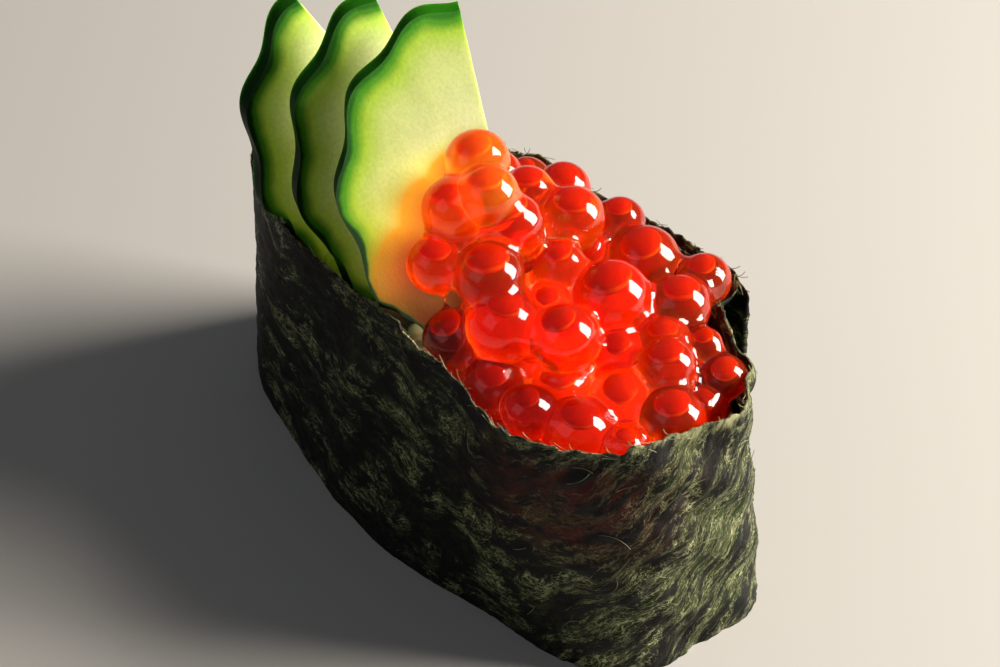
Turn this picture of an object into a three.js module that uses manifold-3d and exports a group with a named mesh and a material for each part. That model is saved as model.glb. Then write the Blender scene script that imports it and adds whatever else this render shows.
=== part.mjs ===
// Gunkan sushi: a strip of nori wound round a block of rice, three half-moon slices
// of cucumber fanned at one end and a mound of salmon roe at the other.
// Millimetres, +Z up. The origin is the middle of the footprint, on the resting plane.
// +X runs along the length towards the roe, +Y across it towards the strip's outer end.
import * as THREE from 'three';
import { mergeVertices } from 'three/addons/utils/BufferGeometryUtils.js';
import Module from 'manifold-3d';

const wasm = await Module();
wasm.setup();

// Footprint and band
const LENGTH = 62;
const HALF_WIDTH_SEAM = 14.2;
const HALF_WIDTH_PLAIN = 13.6;
const SEAM_SWELL = 1.2;
const SEAM_TAPER_BEHIND = 3;
const SEAM_TAPER_AHEAD = 2.9;
const PLAIN_SWELL = 1.6;
const BAND_HEIGHT = 28;
const BAND_THICKNESS = 0.9;
const CORNER_POWER = 3.4;
const STRIP_OVERLAP = 8.5;
const FLAP_LENGTH = 6;
const FLAP_FLARE = 2;
const FOOT_BULGE = 2.4;
const RIM_CURL = 1.3;
const FOLD_DEPTH = 0.45;
const STRIP_STATIONS = 90;
const STRIP_ROWS = 7;
const ENCLOSED_POINTS = 44;
const RIM_OVERHANG = 2.5;
const SECOND_TURN_START = 9;
const SECOND_TURN_END = 1;

// Rice
const CELL = 3;
const GRAIN_LENGTH = 6.2;
const GRAIN_WIDTH = 2.9;
const GRAIN_FLATNESS = 0.85;
const GRAIN_SIDES = 6;
const GRAIN_HEIGHT = 1.1;
const RESTING_GRAIN_HEIGHT = 0.85;
const GRAIN_SPACING = 4.5;
const GRAIN_TRIES = 1500;
const GRAIN_SEED = 3;
const GRAINS_END = -5;
const RICE_BACK = -29;
const RICE_FOOT = 0.9;
const RICE_TOP_UNDER_ROE = 17;
const RICE_TOP_UNDER_SLICES = 20.6;
const RICE_TOP_BEHIND = 24.5;

// Cucumber slices, counted from the one that the roe leans on
const SLICE_COUNT = 3;
const SLICE_RADIUS = 17.3;
const SLICE_THICKNESS = 1.5;
const SLICE_BIAS = new THREE.Vector2(0.75, 0.87);
const SLICE_CENTRE = new THREE.Vector3(-3.4, 2.6, 35.1);
const SLICE_STEP = new THREE.Vector3(-7.5, 0.2, -1.85);
const SLICE_TURN = THREE.MathUtils.degToRad(-2);
const SLICE_LEAN = THREE.MathUtils.degToRad(36);
const FIRST_ROLL = THREE.MathUtils.degToRad(8.5);
const ROLL_STEP = THREE.MathUtils.degToRad(-15);
const SCALLOP_DEPTH = 0.55;
const SCALLOP_ANGLE = THREE.MathUtils.degToRad(33);
const SCALLOP_START = THREE.MathUtils.degToRad(17);

// Roe. The eggs that lie on top of the mound, each as x, y, z and diameter
const TOP_EGGS = [
  [-2.6, -0.7, 39.5, 6.3], [-0.4, -5.2, 37.3, 6.4], [1.9, -2.9, 39.4, 5.9],
  [-0.4, -4.3, 33, 4.6], [3.8, -1.6, 36.3, 6.3], [1.1, -8.7, 33.2, 5.6],
  [-9, 10.5, 27, 5], [-1.8, 9.3, 31.4, 5.4], [3.8, 6, 33.2, 6.2], [3.7, 12, 29.4, 5],
  [9.2, 10.7, 28.9, 6.8], [14.8, 13.5, 28.7, 5.2], [16.5, 9, 29, 6],
  [13, 3.4, 30.6, 7.5], [7.6, 1.4, 32, 5], [6.4, -6.3, 33.9, 6.7],
  [10, -7.5, 31, 6.9], [15, -4, 31, 6.5], [5.5, -10, 27.5, 6], [12, -10.5, 26, 5.7],
  [17, 1, 27.5, 5], [19, 5, 28, 5], [22.5, 2.5, 29, 5.4], [21.5, 8, 28, 3.4],
  [24.6, 7.9, 26.1, 4.4], [21, -2, 26, 5.9], [16.5, -5.5, 25.5, 5.9], [21.5, -7.5, 25.5, 6.6],
  [26, -5.5, 25.5, 4.1], [26.5, 0, 26.5, 6.1], [25.5, 4.5, 24.5, 4.4], [11.5, -5, 26, 5],
  [17.5, -10.5, 27, 5.2],
];
const FILLER_DIAMETER = 5.5;
const FILLER_TRIES = 9000;
const FILLER_LIFT = 0.6;
const FILLER_DROP = 0.4;
const FILLER_STEPS = 18;
const FILLER_DEPTH = 2.2;
const FILLER_REACH = new THREE.Vector2(30, 14);
const EGG_PRESS = 0.44;
const EGG_WALL_GAP = 0.6;
const EGG_WALL_PRESS = 0.8;
const EGG_SLICE_PRESS = 0.9;
const ROE_BACK = -15;
const ROE_SIDE = 7.5;
const ROE_MARGIN = 2;
const MOUND_RIM = 26.3;
const MOUND_RISE = 4.5;
const PEAK_RISE = 9;
const MOUND_DEPTH = 1.5;
const EGG_SWELL = 1.06;
const EGG_SEED = 7;

// Clearance between one solid and the next
const GAP = 0.3;

const COLOURS = {
  nori: 0x1d2a17,
  rice: 0xeee8d6,
  cucumber: 0xd9e39a,
  roe: 0xe8501a,
};

const smooth = (from, to, value) => THREE.MathUtils.smoothstep(
  Math.sign(to - from) * value,
  Math.sign(to - from) * from,
  Math.sign(to - from) * to,
);

const bell = (value, centre, width) => Math.exp(-(((value - centre) / width) ** 2));

const signedPower = (value, power) => Math.sign(value) * Math.abs(value) ** power;

function randomSource(seed) {
  let state = seed;
  return () => {
    state = (state + 0x6d2b79f5) | 0;
    let mixed = Math.imul(state ^ (state >>> 15), 1 | state);
    mixed = (mixed + Math.imul(mixed ^ (mixed >>> 7), 61 | mixed)) ^ mixed;
    return ((mixed ^ (mixed >>> 14)) >>> 0) / 4294967296;
  };
}

// Turns a closed geometry into a solid that can be joined and cut
function toSolid(geometry) {
  const bare = geometry.clone();
  bare.deleteAttribute('normal');
  bare.deleteAttribute('uv');
  const merged = mergeVertices(bare, 1e-4);
  return new wasm.Manifold(new wasm.Mesh({
    numProp: 3,
    vertProperties: new Float32Array(merged.attributes.position.array),
    triVerts: new Uint32Array(merged.index.array),
  }));
}

function toGeometry(solid) {
  const { vertProperties, triVerts } = solid.getMesh();
  const geometry = new THREE.BufferGeometry();
  geometry.setAttribute('position', new THREE.BufferAttribute(vertProperties, 3));
  geometry.setIndex(new THREE.BufferAttribute(triVerts, 1));
  geometry.computeVertexNormals();
  return geometry;
}

// Closed skin through rings of equal length, with a fan over the first and the last
function loft(rings) {
  const size = rings[0].length;
  const positions = rings.flat().flatMap((point) => point.toArray());
  const index = [];
  for (let ring = 0; ring + 1 < rings.length; ring += 1) {
    for (let k = 0; k < size; k += 1) {
      const a = ring * size + k;
      const b = ring * size + ((k + 1) % size);
      index.push(a, b, b + size, a, b + size, a + size);
    }
  }
  const last = (rings.length - 1) * size;
  for (let k = 1; k + 1 < size; k += 1) {
    index.push(0, k + 1, k, last, last + k, last + k + 1);
  }
  const geometry = new THREE.BufferGeometry();
  geometry.setAttribute('position', new THREE.Float32BufferAttribute(positions, 3));
  geometry.setIndex(index);
  return geometry;
}

// Half-width of the footprint at x and height z, on the seam side or on the plain side
function halfWidth(x, z, onSeamSide) {
  const up = z / BAND_HEIGHT;
  if (onSeamSide) {
    return HALF_WIDTH_SEAM + SEAM_SWELL * bell(x, 6, 9)
      - SEAM_TAPER_BEHIND * smooth(0, -18, x)
      - SEAM_TAPER_AHEAD * smooth(12, 28, x) * (0.1 + 0.9 * up);
  }
  return HALF_WIDTH_PLAIN + PLAIN_SWELL * bell(x, 18, 7) * up
    + FOOT_BULGE * bell(x, -1, 11) * (1 - up) ** 2;
}

// Point of the band's outer face for an angle round the footprint and a height
function wallPoint(angle, z) {
  const level = THREE.MathUtils.clamp(z, 0, BAND_HEIGHT);
  const x = (LENGTH / 2) * signedPower(Math.cos(angle), 2 / CORNER_POWER);
  const side = signedPower(Math.sin(angle), 2 / CORNER_POWER);
  return new THREE.Vector2(x, side * halfWidth(x, level, side > 0));
}

// Angles at equal steps of length round the footprint at mid height, clockwise from the seam
const LOOP_ANGLES = (() => {
  const fine = 1440;
  const start = Math.PI * 0.46;
  const lengths = [0];
  let before = wallPoint(start, BAND_HEIGHT / 2);
  for (let k = 1; k <= fine; k += 1) {
    const point = wallPoint(start - (k / fine) * 2 * Math.PI, BAND_HEIGHT / 2);
    lengths.push(lengths[k - 1] + point.distanceTo(before));
    before = point;
  }
  return { fine, start, lengths, total: lengths[fine] };
})();

function angleAt(distance) {
  const { fine, start, lengths, total } = LOOP_ANGLES;
  const turns = Math.floor(distance / total);
  const rest = distance - turns * total;
  let k = 0;
  while (k < fine - 1 && lengths[k + 1] < rest) k += 1;
  const part = (rest - lengths[k]) / (lengths[k + 1] - lengths[k]);
  return start - ((k + part) / fine + turns) * 2 * Math.PI;
}

// Point of the band, its height z given and its depth measured inwards from the outer face
function bandPoint(distance, z, depth) {
  const { total } = LOOP_ANGLES;
  const angle = angleAt(distance);
  const here = wallPoint(angle, z);
  const ahead = wallPoint(angle - 1e-3, z).sub(here).normalize();
  const outward = new THREE.Vector2(-ahead.y, ahead.x);
  const up = z / BAND_HEIGHT;
  const secondTurn = (BAND_THICKNESS + GAP)
    * smooth(total - SECOND_TURN_START, total - SECOND_TURN_END, distance);
  const flap = smooth(total + STRIP_OVERLAP - FLAP_LENGTH, total + STRIP_OVERLAP, distance);
  const curl = RIM_CURL * smooth(22, 30, here.x) * smooth(7, 0, here.y) * smooth(22, 29, z);
  const out = secondTurn + flap * FLAP_FLARE * (0.45 + 0.55 * up) - curl - depth;
  return new THREE.Vector3(here.x + outward.x * out, here.y + outward.y * out, z);
}

// How far the folds of the strip stand out of its outer face
function foldHeight(distance, z) {
  const { total } = LOOP_ANGLES;
  const nearEnd = bell(distance, 0.2 * total, 0.09 * total);
  const slanting = 0.5 + 0.5 * Math.sin(0.75 * z - 0.5 * distance);
  const upright = 0.5 + 0.5 * Math.sin(0.33 * distance + 0.2 * z);
  return FOLD_DEPTH * (nearEnd * slanting + 0.5 * upright);
}

function rimHeight(distance) {
  const turn = (2 * Math.PI * distance) / LOOP_ANGLES.total;
  return BAND_HEIGHT + 0.35 * Math.sin(5 * turn + 1) + 0.2 * Math.sin(14 * turn);
}

// The strip of nori, wider on every side by grow
function bandSolid(grow) {
  const end = LOOP_ANGLES.total + STRIP_OVERLAP;
  const rings = [];
  for (let k = 0; k <= STRIP_STATIONS; k += 1) {
    const distance = -grow + (k / STRIP_STATIONS) * (end + 2 * grow);
    const top = rimHeight(distance) + grow;
    const heights = Array.from({ length: STRIP_ROWS + 1 }, (_, row) => (
      ((top + grow) * row) / STRIP_ROWS - grow
    ));
    const outer = heights.map((z) => bandPoint(distance, z, -grow - foldHeight(distance, z)));
    const inner = heights.map((z) => bandPoint(distance, z, BAND_THICKNESS + grow));
    rings.push([...outer, ...inner.reverse()]);
  }
  return toSolid(loft(rings));
}

// What the band encloses, clear of its inner face, and the space over its rim
function enclosedSpace() {
  const { total } = LOOP_ANGLES;
  const ring = (z, inset, lift) => Array.from({ length: ENCLOSED_POINTS }, (_, k) => {
    const distance = (total * (ENCLOSED_POINTS - 1 - k)) / ENCLOSED_POINTS;
    const height = lift === undefined ? z : rimHeight(distance) + lift;
    const point = bandPoint(distance, Math.min(height, BAND_HEIGHT), BAND_THICKNESS + inset);
    return point.setZ(height);
  });
  const inset = 2 * GAP;
  const rings = [0, 7, 14, 21, 25].map((z) => ring(z, inset));
  rings.push(ring(0, inset, GAP));
  rings.push(ring(0, -RIM_OVERHANG, GAP + 0.05));
  rings.push(ring(2 * BAND_HEIGHT, -RIM_OVERHANG));
  return toSolid(loft(rings));
}

// Half-moon slice, cut on a bias, wider on every side by grow
function sliceSolid(number, grow) {
  const points = [];
  const steps = 44;
  for (let k = 0; k <= steps; k += 1) {
    const angle = (k / steps) * Math.PI;
    const wave = Math.cos((2 * Math.PI * (angle - SCALLOP_START)) / SCALLOP_ANGLE + 0.9 * number);
    const radius = SLICE_RADIUS + SCALLOP_DEPTH * wave + grow;
    points.push(new THREE.Vector2(-radius * Math.sin(angle), radius * Math.cos(angle)));
  }
  points[0].x = grow;
  points[steps].x = grow;
  const depth = SLICE_THICKNESS + 2 * grow;
  const geometry = new THREE.ExtrudeGeometry(new THREE.Shape(points), {
    depth,
    steps: 1,
    bevelEnabled: false,
  });
  geometry.translate(0, 0, -SLICE_THICKNESS - grow);
  const bias = new THREE.Matrix4().set(
    1, 0, -SLICE_BIAS.x / SLICE_THICKNESS, 0,
    0, 1, -SLICE_BIAS.y / SLICE_THICKNESS, 0,
    0, 0, 1, 0,
    0, 0, 0, 1,
  );
  geometry.applyMatrix4(bias);
  return toSolid(geometry.applyMatrix4(slicePlace(number)));
}

// Place of a slice: its local +Z is the face's normal and its local +Y points to the tip
function slicePlace(number) {
  const facing = new THREE.Vector3(Math.cos(SLICE_TURN), Math.sin(SLICE_TURN), 0);
  const up = new THREE.Vector3(0, 0, 1);
  const normal = facing.clone().multiplyScalar(Math.cos(SLICE_LEAN))
    .addScaledVector(up, Math.sin(SLICE_LEAN));
  const rise = facing.clone().multiplyScalar(-Math.sin(SLICE_LEAN))
    .addScaledVector(up, Math.cos(SLICE_LEAN));
  const across = new THREE.Vector3().crossVectors(rise, normal);
  const roll = FIRST_ROLL + ROLL_STEP * number;
  const tip = rise.multiplyScalar(Math.cos(roll)).addScaledVector(across, Math.sin(roll));
  const right = new THREE.Vector3().crossVectors(tip, normal);
  const centre = SLICE_CENTRE.clone().addScaledVector(SLICE_STEP, number);
  return new THREE.Matrix4().makeBasis(right, tip, normal).setPosition(centre);
}

function riceTop(x) {
  const underSlices = RICE_TOP_UNDER_ROE
    + (RICE_TOP_UNDER_SLICES - RICE_TOP_UNDER_ROE) * smooth(13, 7, x);
  return underSlices + (RICE_TOP_BEHIND - RICE_TOP_UNDER_SLICES) * smooth(-6, -20, x);
}

// Solid between two surfaces over the whole footprint, as a net of square cells
function betweenSurfaces(low, high) {
  const reach = new THREE.Vector2(LENGTH / 2, HALF_WIDTH_SEAM + 4);
  const columns = Math.round((2 * reach.x) / CELL);
  const rows = Math.round((2 * reach.y) / CELL);
  const rings = [];
  for (let i = 0; i <= columns; i += 1) {
    const x = reach.x * ((2 * i) / columns - 1);
    const across = Array.from({ length: rows + 1 }, (_, j) => reach.y * ((2 * j) / rows - 1));
    const under = across.map((y) => new THREE.Vector3(x, y, low(x, y)));
    const over = across.map((y) => new THREE.Vector3(x, y, high(x, y)));
    rings.push([...under, ...over.reverse()]);
  }
  return toSolid(loft(rings));
}

function placed(geometry, centre, size, turn) {
  geometry.scale(size.x, size.y, size.z);
  geometry.applyMatrix4(new THREE.Matrix4().makeRotationFromEuler(turn));
  geometry.translate(centre.x, centre.y, centre.z);
  return toSolid(geometry);
}

// Grains of rice under the block, one of them pressed flat on the resting plane at the
// origin, and on top behind the slices
function grainSolids(random) {
  const grains = [];
  const places = [];
  const add = (x, y, z, tilt) => {
    const turn = new THREE.Euler(0, tilt * (random() - 0.5), random() * Math.PI);
    const long = GRAIN_LENGTH * (0.85 + 0.25 * random());
    const size = new THREE.Vector3(long / 2, GRAIN_WIDTH, GRAIN_WIDTH * GRAIN_FLATNESS);
    const grain = new THREE.CapsuleGeometry(0.5, 1, 2, GRAIN_SIDES).rotateZ(Math.PI / 2);
    grains.push(placed(grain, new THREE.Vector3(x, y, z), size, turn));
    places.push(new THREE.Vector2(x, y));
  };
  const clear = (x, y, spacing) => places.every((place) => (
    Math.hypot(place.x - x, place.y - y) > spacing
  ));
  add(0, 0, RESTING_GRAIN_HEIGHT, 0);
  for (let k = 0; k < GRAIN_TRIES; k += 1) {
    const x = (random() - 0.5) * (LENGTH - 2 * GRAIN_WIDTH);
    const y = (random() - 0.5) * 2 * (HALF_WIDTH_PLAIN - GRAIN_WIDTH / 2);
    if (clear(x, y, GRAIN_SPACING)) add(x, y, GRAIN_HEIGHT + 0.25 * random(), 0.2);
  }
  places.length = 0;
  for (let k = 0; k < GRAIN_TRIES; k += 1) {
    const x = THREE.MathUtils.lerp(RICE_BACK, GRAINS_END, random());
    const y = (random() - 0.5) * 2 * (HALF_WIDTH_PLAIN - GRAIN_WIDTH);
    const besideRoe = y > ROE_SIDE - ROE_MARGIN && x > ROE_BACK - 2 * ROE_MARGIN;
    if (!besideRoe && clear(x, y, GRAIN_SPACING)) add(x, y, riceTop(x) + 0.2, 0.7);
  }
  return grains;
}

function moundHeight(x, y) {
  const along = THREE.MathUtils.clamp((26 - x) / 27, 0, 1.1);
  const peak = PEAK_RISE * bell(x, -1, 7) * bell(y, -2, 7);
  return MOUND_RIM + MOUND_RISE * along * bell(y, -1.5, 9.5) + peak;
}

// Distance of a point from a slice, 0 inside it
function sliceClearance(point, number) {
  const local = point.clone().applyMatrix4(slicePlace(number).invert());
  const off = Math.max(local.z, -SLICE_THICKNESS - local.z, 0);
  const beside = local.x <= 0
    ? Math.max(0, Math.hypot(local.x, local.y) - SLICE_RADIUS)
    : Math.hypot(local.x, Math.max(0, Math.abs(local.y) - SLICE_RADIUS));
  return Math.hypot(off, beside);
}

// Below 1 where a point is inside the wall drawn in by inset
function withinWall(point, inset) {
  const level = THREE.MathUtils.clamp(point.z, 0, BAND_HEIGHT);
  const half = halfWidth(point.x, level, point.y > 0) - inset;
  const along = Math.abs(point.x) / (LENGTH / 2 - inset);
  return along ** CORNER_POWER + Math.abs(point.y / half) ** CORNER_POWER;
}

// Whether an egg fits: inside the nori, clear of the slices, before or beside them
function eggMayLie(centre, radius) {
  if (withinWall(centre, EGG_WALL_GAP + radius * EGG_WALL_PRESS) > 1) return false;
  for (let number = 0; number < SLICE_COUNT; number += 1) {
    if (sliceClearance(centre, number) < radius * EGG_SLICE_PRESS) return false;
  }
  const before = centre.clone().applyMatrix4(slicePlace(0).invert()).z > 0;
  return before || (centre.y > ROE_SIDE - ROE_MARGIN && centre.x > ROE_BACK);
}

// The eggs on top, then others dropped into the room that is left under them
function eggList(random) {
  const eggs = TOP_EGGS.map(([x, y, z, diameter]) => ({
    centre: new THREE.Vector3(x, y, z),
    diameter,
  }));
  for (let k = 0; k < FILLER_TRIES; k += 1) {
    const x = THREE.MathUtils.lerp(ROE_BACK, FILLER_REACH.x, random());
    const y = FILLER_REACH.y * (random() * 2 - 1);
    const diameter = FILLER_DIAMETER * (0.86 + 0.28 * random());
    const free = (centre) => eggs.every((egg) => (
      egg.centre.distanceTo(centre) >= EGG_PRESS * (egg.diameter + diameter)
    ));
    for (let step = 0; step < FILLER_STEPS; step += 1) {
      const z = moundHeight(x, y) + FILLER_LIFT - step * FILLER_DROP;
      const centre = new THREE.Vector3(x, y, z);
      if (!eggMayLie(centre, diameter / 2)) continue;
      if (centre.z - diameter / 2 < riceTop(x)) break;
      if (free(centre)) {
        eggs.push({ centre, diameter });
        break;
      }
    }
  }
  return eggs.filter(({ centre }) => centre.z > moundHeight(centre.x, centre.y) - FILLER_DEPTH);
}

// Blocks that bound the roe: before the first slice's face, and beside the slices
function roeBounds() {
  const size = 4 * LENGTH;
  const before = new THREE.BoxGeometry(size, size, size);
  before.translate(0, 0, size / 2 + GAP);
  const beside = new THREE.BoxGeometry(size, size, size);
  beside.translate(ROE_BACK + size / 2, ROE_SIDE + size / 2, 0);
  return toSolid(before.applyMatrix4(slicePlace(0))).add(toSolid(beside));
}

function roeSolid(enclosed, slices) {
  const overRice = betweenSurfaces((x) => riceTop(x) + GAP, () => 2 * BAND_HEIGHT);
  const mound = betweenSurfaces(() => 0, (x, y) => moundHeight(x, y) - MOUND_DEPTH);
  let roe = mound.intersect(roeBounds());
  for (const egg of eggList(randomSource(EGG_SEED))) {
    const size = new THREE.Vector3().setScalar(egg.diameter * EGG_SWELL);
    const ball = new THREE.IcosahedronGeometry(0.5, 1);
    roe = roe.add(placed(ball, egg.centre, size, new THREE.Euler()));
  }
  roe = roe.intersect(overRice).intersect(enclosed);
  for (const slice of slices) roe = roe.subtract(slice);
  return roe;
}

function riceSolid(enclosed, slices) {
  let rice = betweenSurfaces(() => RICE_FOOT, riceTop);
  for (const grain of grainSolids(randomSource(GRAIN_SEED))) rice = rice.add(grain);
  rice = rice.intersect(enclosed);
  for (const slice of slices) rice = rice.subtract(slice);
  return rice;
}

function largestPiece(solid) {
  const pieces = solid.decompose();
  return pieces.reduce((best, piece) => (piece.volume() > best.volume() ? piece : best));
}

function makeMesh(name, solid, colour, roughness) {
  const material = new THREE.MeshStandardMaterial({ color: colour, roughness, metalness: 0 });
  const mesh = new THREE.Mesh(toGeometry(solid), material);
  mesh.name = name;
  return mesh;
}

function build() {
  const group = new THREE.Group();
  const numbers = Array.from({ length: SLICE_COUNT }, (_, number) => number);
  const grownBand = bandSolid(GAP);
  const grownSlices = numbers.map((number) => sliceSolid(number, GAP));
  const enclosed = enclosedSpace();

  group.add(makeMesh('nori_band', bandSolid(0), COLOURS.nori, 0.55));
  const rice = riceSolid(enclosed, grownSlices);
  group.add(makeMesh('rice', largestPiece(rice), COLOURS.rice, 0.6));
  for (const number of numbers) {
    const slice = sliceSolid(number, 0).subtract(grownBand);
    const name = `cucumber_slice_${number + 1}`;
    group.add(makeMesh(name, largestPiece(slice), COLOURS.cucumber, 0.4));
  }
  const roe = roeSolid(enclosed, grownSlices);
  group.add(makeMesh('salmon_roe', largestPiece(roe), COLOURS.roe, 0.15));
  return group;
}

export default build();
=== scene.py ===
"""Gunkan sushi: nori wound round rice, with salmon roe and fanned cucumber slices.

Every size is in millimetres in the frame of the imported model: the origin is the middle
of the footprint on the resting plane, +X runs towards the end with the roe, +Y towards
the outer end of the nori strip and +Z up. Meshes are scaled to metres when they are
finished.
"""

from __future__ import annotations

import logging
import math
import random
from bisect import bisect_right
from dataclasses import dataclass, field
from typing import Iterator, Sequence

import bmesh
import bpy
from bmesh.types import BMesh, BMVert
from bpy.types import ID, Material, NodeSocket, NodeTree, Object
from mathutils import Matrix, Vector, noise

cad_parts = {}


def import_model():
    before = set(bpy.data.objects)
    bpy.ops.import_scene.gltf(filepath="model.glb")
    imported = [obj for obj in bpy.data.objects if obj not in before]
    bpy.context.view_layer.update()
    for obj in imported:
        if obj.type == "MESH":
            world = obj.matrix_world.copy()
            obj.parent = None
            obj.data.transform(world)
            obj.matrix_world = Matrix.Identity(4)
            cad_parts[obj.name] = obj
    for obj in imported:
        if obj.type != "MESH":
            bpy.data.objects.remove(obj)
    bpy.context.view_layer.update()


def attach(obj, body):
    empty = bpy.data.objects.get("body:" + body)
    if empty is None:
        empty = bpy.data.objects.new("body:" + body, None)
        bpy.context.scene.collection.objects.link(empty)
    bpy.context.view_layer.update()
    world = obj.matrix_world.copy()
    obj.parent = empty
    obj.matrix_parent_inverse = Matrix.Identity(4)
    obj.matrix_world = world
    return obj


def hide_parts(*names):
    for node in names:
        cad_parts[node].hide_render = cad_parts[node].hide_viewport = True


LOG = logging.getLogger("gunkan")

MM = 0.001
ROOT = "root"


# ---------------------------------------------------------------- plain functions


def smooth_step(start: float, end: float, value: float) -> float:
    """Rises from 0 at start to 1 at end, level at both.

    Args:
        start: Where it starts to rise.
        end: Where it stops.
        value: Where it is read.

    Returns:
        The height, 0 to 1.
    """
    part = (value - start) / (end - start)
    part = min(max(part, 0.0), 1.0)
    return part * part * (3.0 - 2.0 * part)


def bell(value: float, centre: float, width: float, height: float = 1.0) -> float:
    """Bell curve round a centre."""
    return height * math.exp(-(((value - centre) / width) ** 2))


def signed_power(value: float, power: float) -> float:
    """Power of the magnitude, with the sign kept."""
    return math.copysign(abs(value) ** power, value)


def linear(colour: str, alpha: float = 1.0) -> tuple[float, float, float, float]:
    """Turns an sRGB hex value to linear.

    Args:
        colour: Six hex digits.
        alpha: Share that covers.

    Returns:
        Linear red, green, blue and alpha.
    """
    parts = [int(colour[k : k + 2], 16) / 255.0 for k in (0, 2, 4)]
    red, green, blue = (
        p / 12.92 if p <= 0.04045 else ((p + 0.055) / 1.055) ** 2.4 for p in parts
    )
    return red, green, blue, alpha


def shoulder(up: float, power: float) -> float:
    """Share of its width that a round-shouldered block has at a height of -1 to 1."""
    return max(0.0, 1.0 - abs(up) ** power) ** 0.5


def relief(point: Vector, octaves: int) -> float:
    """Fractal noise of about -1 to 1."""
    return noise.fractal(point, 1.0, 2.0, octaves)


def even_draws(seed: int) -> Iterator[float]:
    """Random numbers of 0 to 1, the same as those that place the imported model's eggs.

    Args:
        seed: Where the series starts.

    Yields:
        The next number.
    """
    word = 0xFFFFFFFF
    state = seed
    while True:
        state = (state + 0x6D2B79F5) & word
        mixed = ((state ^ (state >> 15)) * (1 | state)) & word
        mixed = ((mixed + ((mixed ^ (mixed >> 7)) * (61 | mixed) & word)) & word) ^ mixed
        yield (mixed ^ (mixed >> 14)) / 4294967296.0


def add_object(name: str, data: ID) -> Object:
    """Makes an object of a mesh, curve, light or camera and puts it in the scene.

    Args:
        name: Its name.
        data: The mesh, curve, light or camera.

    Returns:
        The object.
    """
    made = bpy.data.objects.new(name, data)
    bpy.context.scene.collection.objects.link(made)
    return made


def finish_mesh(bm: BMesh, name: str, material: Material) -> Object:
    """Scales a finished mesh to metres, shades it smooth and makes its object.

    Args:
        bm: Mesh in millimetres. It is freed.
        name: Name of the object.
        material: Its finish.

    Returns:
        The object, at the origin.
    """
    bmesh.ops.scale(bm, vec=(MM, MM, MM), verts=bm.verts)
    for face in bm.faces:
        face.smooth = True
    mesh = bpy.data.meshes.new(name)
    bm.to_mesh(mesh)
    bm.free()
    mesh.materials.append(material)
    return add_object(name, mesh)


def mesh_of(holder: Object, name: str, material: Material) -> Object:
    """Makes a plain mesh of a curve, or of a mesh with the modifiers that are on it.

    Args:
        holder: Object of the curve or mesh, in metres. It is removed.
        name: Name of the new object.
        material: Its finish.

    Returns:
        The object, at the origin.
    """
    bpy.context.view_layer.update()
    finished = holder.evaluated_get(bpy.context.evaluated_depsgraph_get())
    mesh = bpy.data.meshes.new_from_object(finished)
    bpy.data.objects.remove(holder)
    mesh.name = name
    mesh.materials.clear()
    mesh.materials.append(material)
    return add_object(name, mesh)


def declare(piece: Object, node: str) -> Object:
    """Puts a piece on the part's one body.

    Args:
        piece: The piece.
        node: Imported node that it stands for.

    Returns:
        The same piece.
    """
    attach(piece, ROOT)
    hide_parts(node)
    LOG.info("%s: %d faces", piece.name, len(piece.data.polygons))
    return piece


# ------------------------------------------------------------------------ finishes


def add_node(tree: NodeTree, kind: str, give: str = "", **values: object) -> NodeSocket | None:
    """Adds a node with its settings and its links.

    Args:
        tree: The node tree.
        kind: The node's type, without its first words ShaderNode.
        give: Name of the output that is wanted. Without it, that is the first in use.
        values: The node's settings in lower case, and for each socket, named with _ for a
            space or as i0, i1 for its place, a value or another node's output.

    Returns:
        The output.
    """
    node = tree.nodes.new(f"ShaderNode{kind}")
    for key, value in values.items():
        by_place = key[-1].isdigit()
        if not by_place and key[0].islower():
            setattr(node, key, value)
            continue
        socket = node.inputs[int(key[1:]) if by_place else key.replace("_", " ")]
        if isinstance(value, NodeSocket):
            tree.links.new(value, socket)
        else:
            socket.default_value = value
    if give:
        return node.outputs[give]
    return next((output for output in node.outputs if output.enabled), None)


def colour_ramp(
    tree: NodeTree, factor: NodeSocket, places: Sequence[float], colours: Sequence[str]
) -> NodeSocket:
    """Adds a colour ramp.

    Args:
        tree: The node tree.
        factor: What drives it.
        places: Where its colours lie.
        colours: The colours in hex.

    Returns:
        Its colour.
    """
    colour = add_node(tree, "ValToRGB", Fac=factor)
    elements = colour.node.color_ramp.elements
    while len(elements) < len(places):
        elements.new(1.0)
    for element, place, shade in zip(elements, places, colours):
        element.position = place
        element.color = linear(shade)
    return colour


@dataclass(frozen=True)
class Finish:
    """What a surface is made of. Each kind lays its own nodes in surface."""

    name: str

    def surface(self, tree: NodeTree) -> NodeSocket:
        """Lays the nodes of the finish and gives its shader.

        Args:
            tree: The material's node tree.

        Returns:
            The shader.
        """
        raise NotImplementedError

    def make(self) -> Material:
        """Builds the material.

        Returns:
            The material.
        """
        material = bpy.data.materials.new(self.name)
        material.use_nodes = True
        tree = material.node_tree
        tree.nodes.clear()
        add_node(tree, "OutputMaterial", Surface=self.surface(tree))
        return material


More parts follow.
